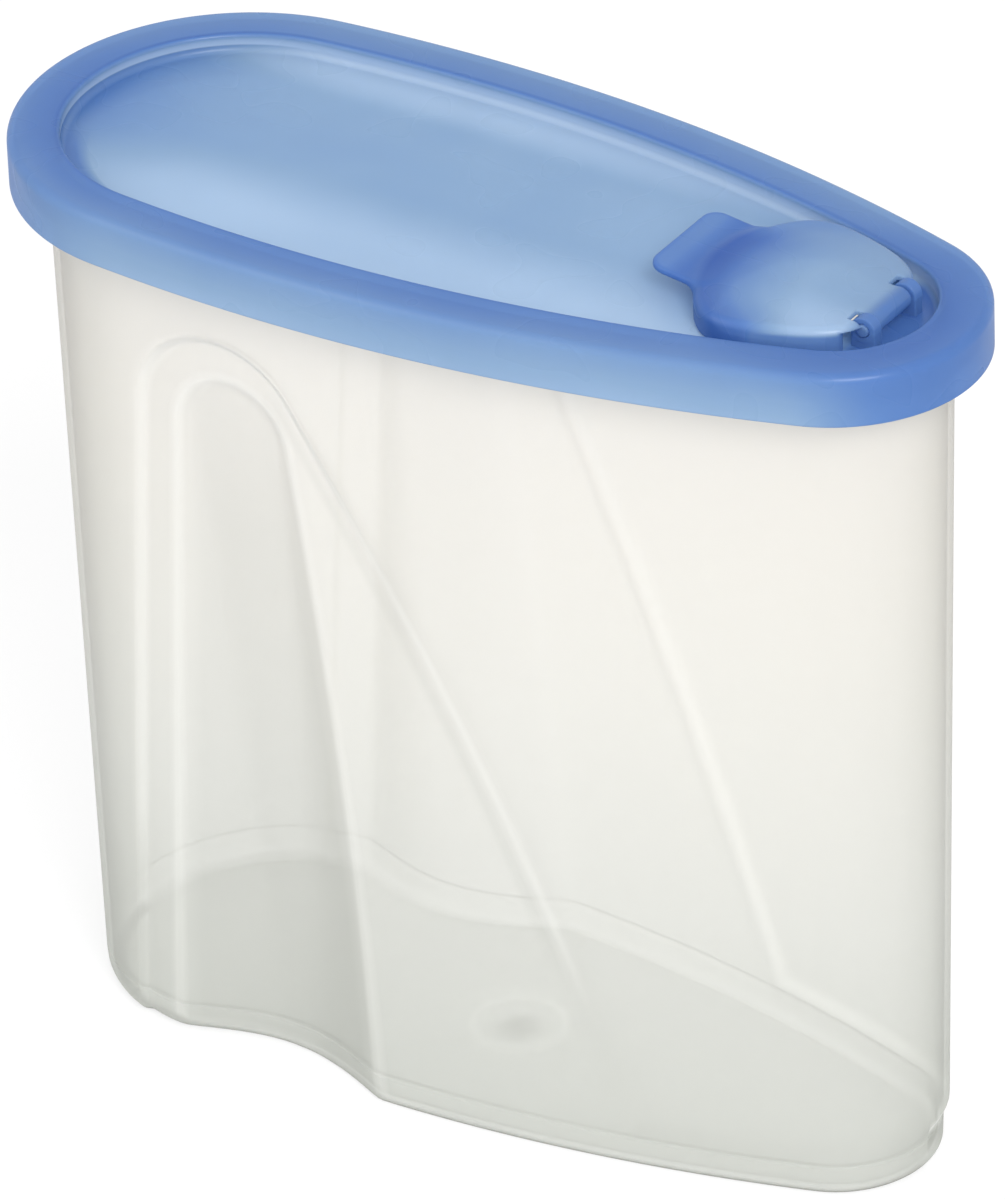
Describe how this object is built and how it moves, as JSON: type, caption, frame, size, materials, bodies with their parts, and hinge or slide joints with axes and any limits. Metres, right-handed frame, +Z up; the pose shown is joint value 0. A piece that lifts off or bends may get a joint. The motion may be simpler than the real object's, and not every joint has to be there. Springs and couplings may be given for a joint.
{
  "type": "cereal container with flip spout",
  "caption": "Tall egg-shaped translucent food container with a moulded side grip, a lift-off lid and a hinged pour flap at the narrow end.",
  "frame": {"origin": "centre of the footprint of the whole object, on the table", "axes": "+X towards the narrow pouring end, +Y across the container, +Z up"},
  "size_m": [0.24, 0.1056, 0.2241],
  "materials": {
    "body_plastic": "translucent natural moulded plastic, satin",
    "lid_plastic": "translucent blue moulded plastic, satin",
    "flap_plastic": "translucent blue moulded plastic, satin, thinner than the lid's rim"
  },
  "bodies": {
    "container": {"container_body": "body_plastic"},
    "lid": {"lid": "lid_plastic"},
    "flap": {"pour_flap": "flap_plastic"}
  },
  "joints": [
    {"name": "lid_lift", "type": "slide", "parent": "container", "child": "lid", "axis": [0, 0, 1], "range_m": [0, 0.06]},
    {"name": "flap_hinge", "type": "hinge", "parent": "lid", "child": "flap", "pos_m": [0.0988, 0, 0.2202], "axis": [0, 1, 0], "range_deg": [0, 150]}
  ]
}
